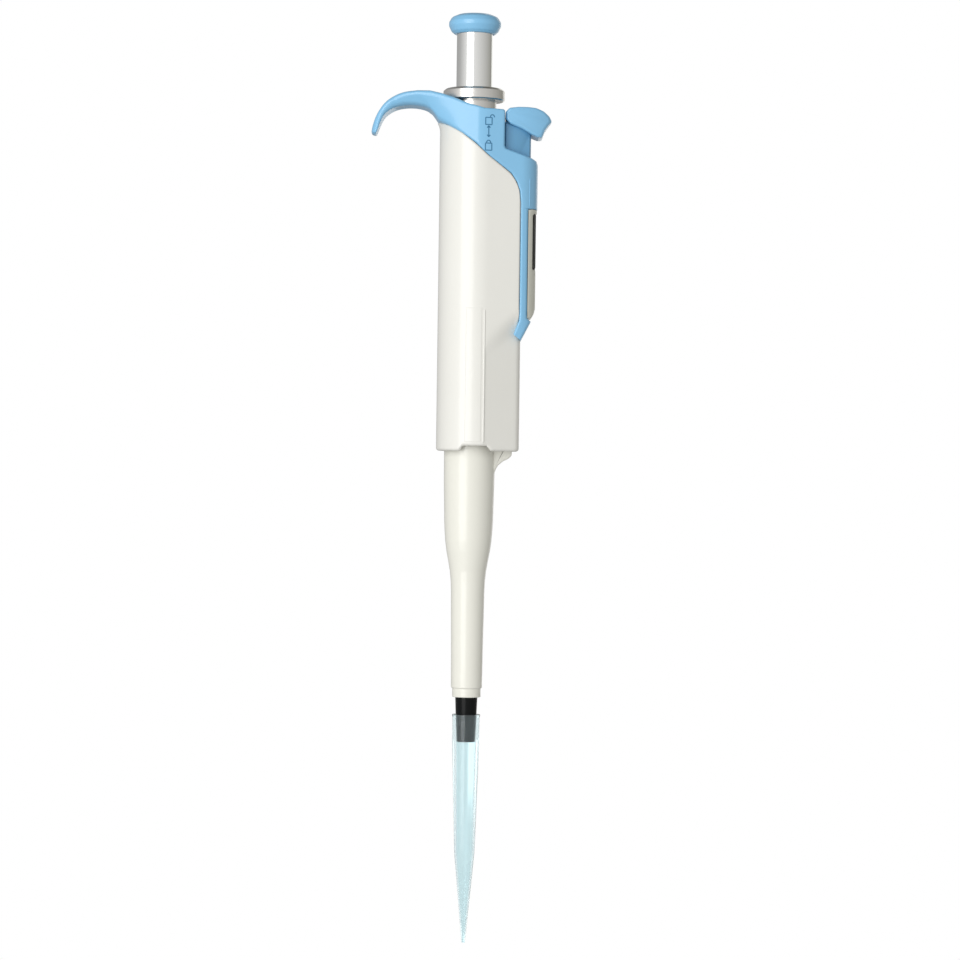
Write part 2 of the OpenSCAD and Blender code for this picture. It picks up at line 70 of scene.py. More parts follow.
def make_piece(name, points, faces, body, material, replaced=(), smooth_angle=40, merge=2e-6):
    """A mesh from points in millimetres, merged, closed and turned outwards, riding on a body."""
    mesh = bpy.data.meshes.new(name)
    corners = np.asarray(points).reshape(-1, 3) * MM
    mesh.from_pydata(corners.tolist(), [], [list(map(int, f)) for f in faces])
    bm = bmesh.new()
    bm.from_mesh(mesh)
    bmesh.ops.remove_doubles(bm, verts=bm.verts, dist=merge)
    bmesh.ops.dissolve_degenerate(bm, edges=bm.edges, dist=1e-7)
    bmesh.ops.recalc_face_normals(bm, faces=bm.faces)
    area = sum(f.calc_area() for f in bm.faces)
    middle = sum((f.calc_center_median() * f.calc_area() for f in bm.faces), Vector()) / area
    if sum(f.normal.dot(f.calc_center_median() - middle) * f.calc_area() for f in bm.faces) < 0:
        bmesh.ops.reverse_faces(bm, faces=bm.faces)
    bm.to_mesh(mesh)
    bm.free()
    piece = bpy.data.objects.new(name, mesh)
    bpy.context.scene.collection.objects.link(piece)
    mesh.materials.append(material)
    mesh.shade_smooth()
    mesh.set_sharp_from_angle(angle=math.radians(smooth_angle))
    finish_piece(piece, body, replaced)
    return piece


def finish_piece(piece, body, replaced=()):
    """Sets a piece on the body it rides on, and hides the nodes that it stands for."""
    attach(piece, body)
    if replaced:
        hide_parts(*replaced)


def rounded(corners, radii, closed=False, steps=6):
    """A polyline whose corners are replaced by curves, each touching both sides at
    radius / tan(half the corner's angle)."""
    corners = [np.array(c, float) for c in corners]
    count = len(corners)
    radii = [radii] * count if np.isscalar(radii) else radii
    out = []
    for k, corner in enumerate(corners):
        if radii[k] <= 0 or (not closed and k in (0, count - 1)):
            out.append(corner[None])
            continue
        to_last = corners[k - 1] - corner
        to_next = corners[(k + 1) % count] - corner
        len_last, len_next = np.linalg.norm(to_last), np.linalg.norm(to_next)
        to_last, to_next = to_last / len_last, to_next / len_next
        half = math.acos(float(np.clip(to_last @ to_next, -1, 1))) / 2
        if half > math.radians(89):
            out.append(corner[None])
            continue
        reach = min(radii[k] / math.tan(half), 0.48 * len_last, 0.48 * len_next)
        start, end = corner + to_last * reach, corner + to_next * reach
        t = np.linspace(0, 1, steps + 1)[:, None]
        # A quadratic curve from tangent point to tangent point, with the corner as its pull.
        out.append((1 - t) ** 2 * start + 2 * t * (1 - t) * corner + t ** 2 * end)
    return np.concatenate(out)


def smooth_line(points, steps=8):
    """A Catmull-Rom curve, a cubic from each point to the next that passes through every point."""
    p = np.asarray(points, float)
    p = np.vstack([2 * p[0] - p[1], p, 2 * p[-1] - p[-2]])
    t = np.linspace(0, 1, steps, endpoint=False)[:, None]
    parts = [0.5 * (2 * b + (c - a) * t
                    + (2 * a - 5 * b + 4 * c - d) * t ** 2
                    + (3 * b - a - 3 * c + d) * t ** 3)
             for a, b, c, d in zip(p, p[1:], p[2:], p[3:])]
    return np.vstack(parts + [p[-2:-1]])


def resampled(line, count, closed=False):
    """The same polyline with count points, evenly spaced along its length."""
    line = np.asarray(line, float)
    if closed:
        line = np.vstack([line, line[:1]])
    run = np.concatenate([[0], np.cumsum(np.linalg.norm(np.diff(line, axis=0), axis=1))])
    want = np.linspace(0, run[-1], count + 1 if closed else count)
    out = np.stack([np.interp(want, run, line[:, k]) for k in range(line.shape[1])], axis=1)
    return out[:-1] if closed else out


def spun(name, profile, body, material, replaced=(), axis=(0, 0), closed=False, turns=128):
    """A profile (radius, height) carried round an upright axis: x = r cos a, y = r sin a, z = height."""
    profile = np.asarray(profile, float)
    a = np.linspace(0, 2 * np.pi, turns, endpoint=False)
    r, z = profile[:, 0][:, None], profile[:, 1][:, None]
    points = np.stack([axis[0] + r * np.cos(a), axis[1] + r * np.sin(a), z + 0 * a], axis=-1)
    faces = grid_faces(len(profile), turns, wrap_rows=closed, wrap_cols=True)
    return make_piece(name, points, faces, body, material, replaced)


def plan_outline(front_x, half_w, back_x, back_r, corner_r, crease_x=None, inset=0.0):
    """Closed plan of a handle section: a round back, two straight sides, two round corners and a flat front.

    The sides leave the round back along its tangent, or at a crease where crease_x says so. Each stretch has
    a fixed number of points, so two sections with other sizes can be blended point by point."""
    centre_x = back_x + back_r
    corner_x, corner_y = front_x - corner_r, half_w - corner_r
    reach = math.hypot(corner_x - centre_x, corner_y)
    normal = math.atan2(corner_y, corner_x - centre_x) + math.acos((back_r - corner_r) / reach)
    big, small = back_r - inset, corner_r - inset
    back_n, side_n, corner_n, front_n = 72, 14, 12, 16
    start = normal if crease_x is None else math.acos((crease_x - centre_x) / back_r)
    arc = np.linspace(start, 2 * np.pi - start, back_n)
    back = np.stack([centre_x + big * np.cos(arc), big * np.sin(arc)], axis=1)
    turn = np.linspace(-normal, 0, corner_n)
    low = np.stack([corner_x + small * np.cos(turn), -corner_y + small * np.sin(turn)], axis=1)
    side = np.linspace(back[-1], low[0], side_n + 2)[1:-1]
    front = np.linspace(low[-1], low[-1] * [1, -1], front_n + 2)[1:-1]
    high = low[::-1] * [1, -1]
    return np.vstack([back, side, low, front, high, side[::-1] * [1, -1]])


def smoothstep(low, high, x):
    """0 below low, 1 above high, and a smooth 3t^2 - 2t^3 between."""
    t = np.clip((np.asarray(x, float) - low) / (high - low), 0, 1)
    return t * t * (3 - 2 * t)


# ---------------------------------------------------------------- material helpers

class Socket:
    """Wraps a node socket so that shader maths reads as Python maths."""

    def __init__(self, tree, output):
        self.tree = tree
        self.output = output

    def math(self, operation, *values, clamp=False):
        node = self.tree.nodes.new("ShaderNodeMath")
        node.operation = operation
        node.use_clamp = clamp
        for k, value in enumerate(values):
            if isinstance(value, Socket):
                self.tree.links.new(value.output, node.inputs[k])
            else:
                node.inputs[k].default_value = value
        return Socket(self.tree, node.outputs[0])

    def __add__(self, other):
        return self.math("ADD", self, other)

    __radd__ = __add__

    def __sub__(self, other):
        return self.math("SUBTRACT", self, other)

    def __rsub__(self, other):
        return self.math("SUBTRACT", other, self)

    def __mul__(self, other):
        return self.math("MULTIPLY", self, other)

    __rmul__ = __mul__

    def clamped(self):
        return self.math("ADD", self, 0.0, clamp=True)


class Material:
    """A Principled material whose nodes come from one method."""

    def __init__(self, name, **constants):
        self.material = bpy.data.materials.new(name)
        self.material.use_nodes = True
        self.tree = self.material.node_tree
        self.shader = self.tree.nodes["Principled BSDF"]
        self.set(**constants)

    def set(self, **constants):
        for key, value in constants.items():
            self.shader.inputs[key.replace("_", " ")].default_value = value

    def node(self, kind, settings=None, **values):
        """A node of this kind: its settings first, then the values or links of its sockets."""
        node = self.tree.nodes.new("ShaderNode" + kind)
        for key, value in (settings or {}).items():
            setattr(node, key, value)
        for key, value in values.items():
            socket = node.inputs[int(key[1:])] if key[0] == "i" and key[1:].isdigit() else node.inputs[key]
            if isinstance(value, Socket):
                self.tree.links.new(value.output, socket)
            else:
                socket.default_value = value
        return node

    def out(self, node, name=0):
        return Socket(self.tree, node.outputs[name])

    def place(self):
        """Object coordinates in metres."""
        return self.out(self.node("TexCoord"), "Object")

    def axis(self, letter):
        """One object coordinate, in millimetres."""
        split = self.node("SeparateXYZ", Vector=self.place())
        return self.out(split, letter) * 1000.0

    def noise(self, scale, detail=3.0, roughness=0.5, stretch=(1, 1, 1)):
        """Noise in object space, from 0 to 1, with scale in lumps per metre."""
        mapping = self.node("Mapping", Vector=self.place())
        mapping.inputs["Scale"].default_value = stretch
        node = self.node("TexNoise", Vector=self.out(mapping), Scale=scale, Detail=detail,
                         Roughness=roughness)
        return self.out(node, 0)

    def mix(self, factor, first, second):
        """A colour between two, by a factor."""
        node = self.node("Mix", {"data_type": "RGBA"}, i0=factor)
        for socket, value in ((node.inputs[6], first), (node.inputs[7], second)):
            if isinstance(value, Socket):
                self.tree.links.new(value.output, socket)
            else:
                socket.default_value = value
        return Socket(self.tree, node.outputs[2])

    def feed(self, socket, value):
        self.tree.links.new(value.output, self.shader.inputs[socket])

    def bump(self, height, strength, distance):
        node = self.node("Bump", Height=height, Strength=strength, Distance=distance)
        self.feed("Normal", self.out(node))


def rgb(red, green, blue):
    """A colour given as it looks on a screen, 0 to 255, turned into linear light."""
    def linear(c):
        c = c / 255
        return c / 12.92 if c <= 0.04045 else ((c + 0.055) / 1.055) ** 2.4
    return (linear(red), linear(green), linear(blue), 1.0)


def moulded(name, light, dark, roughness, coat, specular=0.5):
    """Injection-moulded plastic: a slow change of tone, fine surface grain and slightly uneven gloss."""
    m = Material(name, Coat_Roughness=0.12, IOR=1.5, Specular_IOR_Level=specular)
    slow = m.noise(38, 2)
    grain, grit_scale, grit_depth = 0.06, 2600, 0.00001
    grit = m.noise(grit_scale, 4, 0.6)
    m.feed("Base Color", m.mix(slow, dark, light))
    m.feed("Roughness", (roughness - grain / 2) + grit * grain + slow * 0.04)
    m.set(Coat_Weight=coat)
    m.bump(grit, 0.12, grit_depth)
    return m.material


def turned(name, light, dark, roughness, ring_scale):
    """Turned metal: fine rings round the axis, seen as thin bands along Z, with a slow change of tone."""
    m = Material(name, Metallic=1.0)
    rings = m.noise(ring_scale, 4, 0.7, (0.02, 0.02, 1))
    slow = m.noise(60, 2)
    m.feed("Base Color", m.mix(rings * 0.5 + slow * 0.5, dark, light))
    m.feed("Roughness", (roughness - 0.05) + rings * 0.1)
    m.bump(rings, 0.1, 0.00001)
    return m.material


IVORY = moulded("ivory gloss plastic", rgb(226, 225, 219), rgb(222, 221, 214), 0.3, 0.4)
SKY = moulded("sky blue plastic", rgb(130, 188, 224), rgb(125, 183, 220), 0.30, 0.3)
# A darker copy of the sky blue for the ejector stem: painted shade that the button above casts on it.
SKY_SHADED = moulded("sky blue plastic, painted shade", rgb(98, 154, 190), rgb(92, 148, 185), 0.32, 0.2)
STONE = moulded("grey window plastic", rgb(203, 203, 192), rgb(196, 196, 184), 0.34, 0.2)
SLEEVE = moulded("ivory sleeve plastic", rgb(227, 226, 216), rgb(223, 222, 212), 0.3, 0.4)
CARBON = moulded("black nozzle plastic", rgb(12, 14, 14), rgb(8, 10, 10), 0.22, 0.0, specular=0.12)
INNER = moulded("white inner plastic", rgb(232, 232, 226), rgb(222, 222, 216), 0.45, 0.0)
GREY_INNER = moulded("dark inner plastic", rgb(74, 77, 82), rgb(62, 65, 70), 0.45, 0.0)
RUBBER = moulded("seal rubber", rgb(32, 32, 32), rgb(24, 24, 24), 0.6, 0.0)
CHROME = turned("polished chrome", rgb(236, 236, 234), rgb(226, 226, 224), 0.12, 9000)
SATIN = turned("satin turned metal", rgb(226, 224, 220), rgb(206, 204, 200), 0.24, 14000)
STEEL = turned("ground steel", rgb(200, 200, 200), rgb(172, 172, 172), 0.3, 12000)
BRASS = turned("turned brass", rgb(214, 178, 104), rgb(190, 152, 82), 0.3, 12000)
SPRING = turned("spring wire", rgb(190, 190, 192), rgb(150, 150, 154), 0.28, 20000)


def clear_plastic(name, tint, roughness, transmission):
    """Clear moulded polypropylene: tinted, slightly milky, with fine lengthwise flow lines."""
    m = Material(name, IOR=1.36, Specular_IOR_Level=0.25, Transmission_Weight=transmission)
    flow = m.noise(2400, 3, 0.6, (1, 1, 0.03))
    cloud = m.noise(160, 2)
    m.feed("Base Color", m.mix(cloud, tint[0], tint[1]))
    m.feed("Roughness", roughness + flow * 0.08)
    m.bump(flow, 0.15, 0.00002)
    return m.material


TIP_CLEAR = clear_plastic("clear tip plastic", (rgb(229, 243, 245), rgb(224, 240, 243)), 0.06, 0.97)


def bordered_lens():
    """Clear pane with a dark border, partly painted shade of the window's recess and partly a darkened border
    such windows have: the tint darkens where the distance past the clear middle, the larger of |y| - 3.4 and
    |z - middle| - half height + 1.2, rises from 0 to 0.3 mm."""
    z0, z1 = (corner[2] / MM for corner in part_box("window_lens"))
    m = Material("lens, border with painted shade", IOR=1.36, Specular_IOR_Level=0.25, Transmission_Weight=0.95)
    y = m.axis("Y")
    z = m.axis("Z") - (z0 + z1) / 2
    past = y.math("MAXIMUM", y.math("ABSOLUTE", y) - 3.4, z.math("ABSOLUTE", z) - ((z1 - z0) / 2 - 1.2))
    border = (past * 3.0).clamped()
    # The border's dark tint is partly painted shade of the window's recess, partly a darkened border of the
    # pane.
    m.feed("Base Color", m.mix(border, rgb(214, 214, 206), rgb(34, 34, 30)))
    m.feed("Roughness", 0.03 + border * 0.3 + m.noise(2400, 3) * 0.02)
    return m.material


LENS_SHADED_BORDER = bordered_lens()


def wheel_material():
    """Number wheel plastic: white with a fine grain that varies its tone."""
    m = Material("number wheel plastic", IOR=1.5)
    grit = m.noise(1800, 3)
    m.feed("Base Color", m.mix(grit, rgb(238, 238, 234), rgb(226, 226, 222)))
    m.feed("Roughness", 0.38 + grit * 0.1)
    m.bump(grit, 0.1, 0.00001)
    return m.material


WHEEL = wheel_material()
INK = moulded("number ink", rgb(30, 30, 34), rgb(24, 24, 28), 0.5, 0.0)
MARK_BLUE = moulded("printed mark", rgb(62, 122, 160), rgb(56, 114, 152), 0.4, 0.0)

FINISH = {"ivory_plastic": IVORY, "blue_plastic": SKY, "grey_plastic": STONE, "lens": LENS_SHADED_BORDER,
          "inner_plastic": INNER, "wheel_plastic": WHEEL, "dark_plastic": GREY_INNER,
          "black_plastic": CARBON, "seal_rubber": RUBBER, "satin_metal": SATIN, "chrome": CHROME,
          "steel": STEEL, "brass": BRASS, "tip_plastic": TIP_CLEAR}


def finish_cad_nodes():
    """Each carried-over node gets the procedural material of its own slot."""
    for row in frame["record"]["subparts"]:
        node = NODES[row["node"]]
        material = SPRING if "spring" in row["node"] else FINISH[row["material_slot"]]
        node.data.materials.clear()
        node.data.materials.append(material)


finish_cad_nodes()


# ---------------------------------------------------------------- the outline's driving sizes, in millimetres

def low(node, k):
    """Lower bound of a node along axis k, in millimetres."""
    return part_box(node)[0][k] / MM


def high(node, k):
    """Upper bound of a node along axis k, in millimetres."""
    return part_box(node)[1][k] / MM


HANDLE_Z = low("handle", 2)
BACK_X = -10.6
BACK_R = 12.0
GRIP = dict(front_x=high("handle", 0), half_w=6.6, back_x=BACK_X, back_r=BACK_R, corner_r=3.0, crease_x=4.1)
DISPLAY = dict(front_x=high("cover", 0), half_w=8.5, back_x=BACK_X, back_r=BACK_R, corner_r=7.5)
STRIP_X = 15.0
SEAM = [[-12.2, 259.3], [-11.2, 258.7], [-7.7, 256.9], [-3.7, 254.5], [0.4, 251.4], [4.5, 247.7],
        [9.7, 243.8], [12, 242], [13.7, 239.4], [14.7, 236.5], [STRIP_X, 233]]


def seam_height(x):
    """Height of the seam between handle and cover over a place x in the side view."""
    line = rounded(SEAM, 4.0)
    return np.interp(x, line[:, 0], line[:, 1])


# ---------------------------------------------------------------- handle

def build_handle():
    """Closed plan sections stacked from the foot to the seam.

    A section is the slim grip's plan below, the display section's plan above, blended by a smooth step whose
    height rises towards the front. The lowest rows draw in by r (1 - cos t) to round the foot, and every
    section's last row lies on the seam's height over its own x."""
    grip = plan_outline(**GRIP)
    display = plan_outline(**DISPLAY)
    display[:, 0] = np.minimum(display[:, 0], STRIP_X)
    front_share = np.clip((grip[:, 0] - 2) / 11, 0, 1)
    foot_r = 0.9
    t = np.linspace(0, np.pi / 2, 6)
    foot = HANDLE_Z + foot_r * (1 - np.cos(t))
    inset = foot_r * (1 - np.sin(t))
    rise = np.linspace(0, 1, 120)[1:]
    top = seam_height(np.minimum(display[:, 0], STRIP_X)) - 0.12
    flare = np.exp(-((display[:, 1]) / 5.0) ** 2) * (display[:, 0] < 0)
    rows = []
    notch = 1.55 * smoothstep(-3.6, -2.2, grip[:, 0]) * (1 - smoothstep(5.4, 6.9, grip[:, 0]))
    for z, d in zip(foot, inset):
        shrunk = plan_outline(inset=d, **GRIP)
        rows.append(np.column_stack([shrunk, z + notch]))
    for share in rise:
        z = foot[-1] + notch + (top - foot[-1] - notch) * share
        middle = 186.5 + 8.5 * front_share
        blend = smoothstep(-4.5, 4.5, z - middle)[:, None]
        section = grip * (1 - blend) + display * blend
        swell = 1.4 * np.clip((z - 255.5) / 3.8, 0, 1) ** 2 * flare
        section[:, 0] -= swell
        rows.append(np.column_stack([section, z]))
    points = np.array(rows)
    count = points.shape[1]

    def keep(i, j):
        x = points[i, j, 0]
        z = points[i, j, 2]
        return ~((x > STRIP_X - 0.3) & (z > 198))

    piece = make_piece("handle_shell", points, grid_faces(len(points), count, wrap_cols=True, keep=keep),
                       "housing", IVORY, ["handle"], 35)
    thick = piece.modifiers.new("wall", "SOLIDIFY")
    thick.thickness = 1.0 * MM
    thick.offset = -1
    return piece


build_handle()


# ---------------------------------------------------------------- blue cover

COVER_LOWER = [[-30.5, 255.0], [-30.1, 255.9], [-29.4, 257.9], [-28.2, 260.2], [-26.4, 261.8], [-24, 262.9],
               [-20.8, 263.4], [-17.6, 263.3], [-14.8, 262.6], [-12.9, 261.3]]
COVER_UPPER = [[-32.15, 255.3], [-31.9, 256.7], [-31.1, 259.1], [-29.8, 261.6], [-27.8, 264.2], [-25, 266.2],
               [-21.8, 267.4], [-17.8, 267.9]]
HOOK_END = np.array([-31.45, 254.35])


def cover_half_width(x):
    """Half width over x: the round back's circle and the straight sides, then a narrowing hook."""
    outline = plan_outline(**DISPLAY)
    right = outline[outline[:, 1] > 0]
    order = np.argsort(right[:, 0])
    body = np.interp(x, right[order, 0], right[order, 1])
    end_x, end_w, root_x, root_w = -25.2, 7.6, 1.0, 11.9
    hook = end_w + (x - end_x) * (root_w - end_w) / (root_x - end_x)
    tip = np.sqrt(np.clip(1 - np.clip((end_x - x) / end_w, 0, 1) ** 2, 0.02, 1)) * end_w
    return np.where(x < end_x, tip, np.where(x < 1.4, np.minimum(hook, 12.0), body))


def bar_loft(lower, upper, half_width, edge, draft, across=9, deep=16):
    """Rounded bar carried along a pair of lines: each section is a rounded rectangle between a point of the
    lower line and one of the upper line, and across from minus to plus the half width there.

    The section's corners are quarter circles of radius edge, and its sides lean in by draft towards the lower
    line."""
    t = np.linspace(0, np.pi / 2, 8)
    quarter = np.stack([1 - np.sin(t), 1 - np.cos(t)], axis=1)
    span = np.linalg.norm(upper - lower, axis=1)
    direction = (upper - lower) / span[:, None]
    side_s = np.linspace(0, 1, deep)[1:-1]
    flat_s = np.linspace(1, -1, across)[1:-1]
    sections = []
    for k in range(len(lower)):
        r = min(edge[k], 0.45 * span[k])
        up = [(r * q[1], 1.0, -r * q[0]) for q in quarter]
        up += [(r + (span[k] - 2 * r) * share, 1.0, 0.0) for share in side_s]
        up += [(span[k] - r * q[1], 1.0, -r * q[0]) for q in quarter[::-1]]
        up = np.array(up)
        up[:, 2] -= draft[k] * (span[k] - up[:, 0])
        over = np.array([(span[k], share, up[-1, 2]) for share in flat_s])
        down = up[::-1] * [1, -1, 1]
        under = np.array([(0.0, -share, up[0, 2]) for share in flat_s])
        ring = np.vstack([up, over, down, under])
        place = lower[k] + direction[k] * ring[:, :1]
        half = np.maximum(half_width(place[:, 0]) + ring[:, 2], 0.05)
        sections.append(np.column_stack([place[:, 0], half * ring[:, 1], place[:, 1]]))
    return np.array(sections)


def closed_ends(points, nose):
    """Closes a loft: the first ring draws in to the nose by cos t and sin t, and the last one to its own
    middle."""
    first, last = points[0], points[-1]
    head = []
    for t in np.radians([90, 70, 50, 30, 15]):
        ring = first.mean(0) + (first - first.mean(0)) * max(math.cos(t), 1e-6)
        head.append(ring + (nose - first.mean(0)) * math.sin(t))
    tail = [last.mean(0) + (last - last.mean(0)) * share for share in (0.85, 0.5, 0.0)]
    return np.concatenate([np.array(head), points, np.array(tail)])


def paired_lines():
    """The cover's lower and upper lines, cut at matching stations so that sections stay square to the bar."""
    slot_x = low("ejector_button", 0) - 0.08
    front = high("cover", 0)
    window_top = high("window_frame", 2)
    window_foot = low("window_frame", 2)
    frame_back = low("window_frame", 0)
    stations = [
        (smooth_line(COVER_LOWER), smooth_line(COVER_UPPER), 46),
        ([[-12.9, 261.3], [-11.7, 259.6], [-10.9, 258.5], [-7.7, 256.9], [-3.7, 254.5], [0.4, 251.4]],
         [[-17.8, 267.9], [-13.7, 267.8], [-9.7, 266.8], [-5.8, 265.4], [-1.8, 263.7], [3.5, 262.2],
          [slot_x - 0.5, 262.0]], 44),
        ([[0.4, 251.4], [1.0, 250.9]], [[slot_x - 0.5, 262.0], [slot_x, 261.6]], 5),
        ([[1.0, 250.9], [4.5, 247.7]], [[slot_x, 261.6], [slot_x, 250.6]], 16),
        ([[4.5, 247.7], [5.6, 246.8]], [[slot_x, 250.6], [10.3, 249.75]], 6),
        ([[5.6, 246.8], [9.7, 243.8], [12, 242]], [[10.3, 249.75], [18.5, 247.1], [19.9, 246.4]], 26),
        ([[12, 242], [13.7, 239.4]], [[19.9, 246.4], [front, 245.3]], 6),
        ([[13.7, 239.4], [14.7, 236.5], [STRIP_X, 233], [STRIP_X, window_top + 0.5]],
         [[front, 245.3], [front, window_top + 0.5]], 24),
        ([[STRIP_X, window_top + 0.5], [STRIP_X, window_top + 0.1]],
         [[front, window_top + 0.5], [front, window_top + 0.1]], 3),
        ([[STRIP_X, window_top + 0.1], [STRIP_X, window_top]],
         [[front, window_top + 0.1], [frame_back - 0.02, window_top]], 2),
        ([[STRIP_X, window_top], [STRIP_X, window_foot]],
         [[frame_back - 0.02, window_top], [frame_back - 0.02, window_foot]], 50),
        ([[STRIP_X, window_foot], [14.9, 195.9]], [[frame_back - 0.02, window_foot], [18.7, 195.9]], 5),
        ([[14.9, 195.9], [13.9, 193.4]], [[18.7, 195.9], [16.9, 192.4]], 8),
        ([[13.9, 193.4], [13.3, 191.7]], [[16.9, 192.4], [15.6, 189.9]], 8),
    ]
    lower = np.vstack([resampled(a, n)[(k > 0):] for k, (a, b, n) in enumerate(stations)])
    upper = np.vstack([resampled(b, n)[(k > 0):] for k, (a, b, n) in enumerate(stations)])
    return lower, upper


def cut_round_recess(piece, radius, floor_z, smooth_angle):
    """Takes an upright cylinder about the axis out of a closed piece, from the floor upwards."""
    depth = 20 * MM
    bm = bmesh.new()
    bmesh.ops.create_cone(bm, cap_ends=True, segments=160, radius1=radius * MM, radius2=radius * MM,
                          depth=depth, matrix=Matrix.Translation((0, 0, floor_z * MM + depth / 2)))
    mesh = bpy.data.meshes.new("cutter")
    bm.to_mesh(mesh)
    bm.free()
    cutter = bpy.data.objects.new("cutter", mesh)
    bpy.context.scene.collection.objects.link(cutter)
    cut = piece.modifiers.new("recess", "BOOLEAN")
    cut.operation, cut.solver, cut.object = "DIFFERENCE", "EXACT", cutter
    whole = piece.evaluated_get(bpy.context.evaluated_depsgraph_get())
    piece.modifiers.clear()
    piece.data = bpy.data.meshes.new_from_object(whole)
    piece.data.shade_smooth()
    piece.data.set_sharp_from_angle(angle=math.radians(smooth_angle))
    bpy.data.objects.remove(cutter)


def build_cover():
    """Top cover, finger hook and front strip as one closed loft, with a recess for the lock ring."""
    lower, upper = paired_lines()
    body_share = smoothstep(-15, -3, lower[:, 0])
    points = bar_loft(lower, upper, cover_half_width, 2.2 - 1.4 * body_share, 0.45 * (1 - body_share))
    points = closed_ends(points, np.array([HOOK_END[0], 0, HOOK_END[1]]))
    faces = grid_faces(len(points), points.shape[1], wrap_cols=True)
    cover = make_piece("hook_cover", points, faces, "housing", SKY, ["cover"], 50)
    # Room for the lock ring's travel.
    gap, floor_z = 0.35, 263
    cut_round_recess(cover, high("lock_ring", 0) + gap, floor_z, 40)


build_cover()


# ---------------------------------------------------------------- round pieces

def build_round_pieces():
    """Push button, chrome tube, lock ring and neck, all turned about the main axis."""
    cap_z = [low("button_cap", 2), high("button_cap", 2)]
    cap_r = high("button_cap", 0)
    tube_r, tube_bore_r = high("plunger_tube", 0), 4.4
    bore_r = tube_r + 0.08
    spun("push_button", rounded([[tube_r, cap_z[0] + 0.3], [6.3, cap_z[0]], [7.4, cap_z[0] + 0.9],
                                 [cap_r, cap_z[0] + 2.6], [cap_r, cap_z[0] + 3.8], [7.3, cap_z[1] - 0.9],
                                 [5.2, cap_z[1]], [0, cap_z[1]]],
                                [0, 0.6, 1.2, 1.2, 1.2, 1.6, 1.6, 0]),
         "push_button", SKY, ["button_cap"])
    tube_low = low("plunger_tube", 2)
    spun("chrome_tube", rounded([[tube_bore_r, tube_low], [tube_r, tube_low], [tube_r, cap_z[0] + 1],
                                 [tube_bore_r, cap_z[0] + 1]], [0, 0.3, 0, 0], closed=True),
         "push_button", CHROME, ["plunger_tube"], closed=True)
    ring_z = [low("lock_ring", 2), high("lock_ring", 2)]
    ring_r = high("lock_ring", 0)
    spun("volume_lock_ring", rounded([[bore_r, ring_z[1]], [8.9, ring_z[1]], [ring_r, ring_z[1] - 0.7],
                                      [ring_r, ring_z[0] + 0.35], [9.3, ring_z[0]], [7.15, ring_z[0]],
                                      [7.15, ring_z[0] + 2.8], [bore_r, ring_z[0] + 2.8]],
                                     [0.25, 0.5, 0.35, 0.35, 0.4, 0.15, 0, 0], closed=True),
         "lock", SATIN, ["lock_ring"], closed=True)
    neck_z = [low("neck_bush", 2), high("neck_bush", 2)]
    neck_r, flange_r = 7.07, 8.3
    spun("neck", rounded([[bore_r, neck_z[1]], [neck_r, neck_z[1]], [neck_r, 258], [flange_r, 258],
                          [flange_r, 256.2], [neck_r, 256.2], [neck_r, neck_z[0]], [bore_r, neck_z[0]]],
                         [0.15, 0.3, 0, 0.2, 0.2, 0, 0.3, 0], closed=True),
         "housing", SATIN, ["neck_bush"], closed=True)


SLEEVE_OUTSIDE = [[4.5, 80.2], [4.9, 80.6], [5.0, 92], [5.2, 104.6], [5.27, 111], [5.4, 114], [5.72, 117.2],
                  [6.28, 120.4], [6.88, 123.6], [7.3, 126.7], [7.55, 130], [7.7, 133], [7.98, 145.7]]
SLEEVE_INSIDE = [[7.35, 146], [7.1, 133], [6.95, 130], [6.65, 126.7], [6.25, 123.6], [5.6, 120.4],
                 [5.05, 117.2], [4.75, 114], [4.6, 111], [4.45, 104], [4.3, 82], [3.7, 80.2]]


def build_lower_end():
    """Ejector sleeve with its waist, the nozzle of the shaft, and the thin-walled tip."""
    end, top = low("ejector_sleeve", 2), high("ejector_sleeve", 2)
    profile = [[3.7, end], [4.5, end]] + SLEEVE_OUTSIDE + [[8.05, top], [7.35, top]] + SLEEVE_INSIDE
    spun("sleeve", rounded(profile, [0.2, 0.35, 0.2, 0.25, 6, 8, 8, 5, 4, 4, 5, 5, 5, 5, 6, 0.5, 0.2]
                           + [4] * (len(SLEEVE_INSIDE) - 1) + [0.2], closed=True),
         "ejector", SLEEVE, ["ejector_sleeve"], closed=True)
    nozzle = low("shaft", 2)
    spun("nozzle", rounded([[1.2, nozzle], [2.95, nozzle], [3.3, 71.8], [3.5, 77.2], [3.5, 80.6], [3.9, 81.5],
                            [3.95, 108], [4.2, 112], [4.5, 117], [5.4, 122], [5.9, 125], [6.5, 130],
                            [6.7, 134], [6.95, 146], [6.95, 163.5], [7.6, 163.5], [7.6, 165.95],
                            [6.1, 165.95], [6.1, 150], [4.95, 150], [4.95, 124], [1.2, 120]],
                           [0.2, 0.5] + [0] * 20, closed=True),
         "housing", CARBON, ["shaft"], closed=True)
    rim, lip = high("tip", 2), high("tip", 0)
    body = lip - 0.12
    spun("tip_shell", rounded([[0.4, 0], [0.55, 0], [3.2, 28.5], [body, 63.4], [body + 0.05, 64.2],
                               [body, 64.6], [body, rim - 0.75], [lip, rim - 0.55], [lip, rim], [3.5, rim],
                               [3.34, 71.8], [2.99, 63.4], [2.95, 62], [2.55, 28.5], [0.4, 2.9]],
                              [0.05, 0.08, 8, 0.3, 0.1, 0.3, 0.15, 0.1, 0.12, 0.1, 0.3, 0.3, 0.5, 8, 1],
                              closed=True),
         "tip", TIP_CLEAR, ["tip"], closed=True)


build_round_pieces()
build_lower_end()


# ---------------------------------------------------------------- slabs: side views given a width

